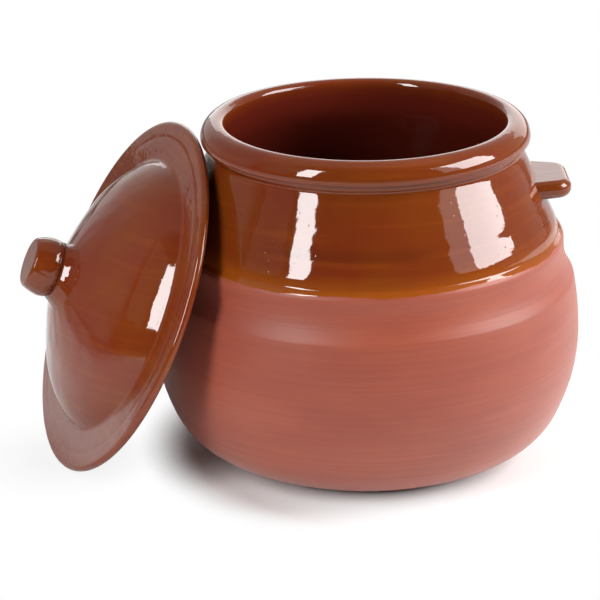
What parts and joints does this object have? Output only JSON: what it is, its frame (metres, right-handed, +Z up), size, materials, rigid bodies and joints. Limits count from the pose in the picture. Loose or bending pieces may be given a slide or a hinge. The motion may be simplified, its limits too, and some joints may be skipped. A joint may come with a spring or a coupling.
{
  "type": "lidded earthenware cooking pot",
  "caption": "Round-bellied earthenware cooking pot, glazed on its shoulder and rim, with lug handles and a loose domed lid leaning on its side.",
  "frame": {"origin": "middle of the pot's flat base, on the surface that it stands on", "axes": "+Z up along the pot's axis, X along the lugs with the leaning lid on the -X side, -Y towards the front"},
  "size_m": [0.3251, 0.25, 0.2003],
  "materials": {
    "glazed_earthenware": "glossy",
    "bare_earthenware": "matte"
  },
  "bodies": {
    "pot": {"pot_body": "glazed_earthenware", "handle_left": "glazed_earthenware", "handle_right": "glazed_earthenware"},
    "lid": {"lid": "glazed_earthenware", "lid_knob": "glazed_earthenware"}
  },
  "joints": [
    {"name": "lid_lift", "type": "slide", "parent": "pot", "child": "lid", "axis": [-0.8571, -0.3047, 0.4153], "range_m": [0, 0.15]}
  ]
}
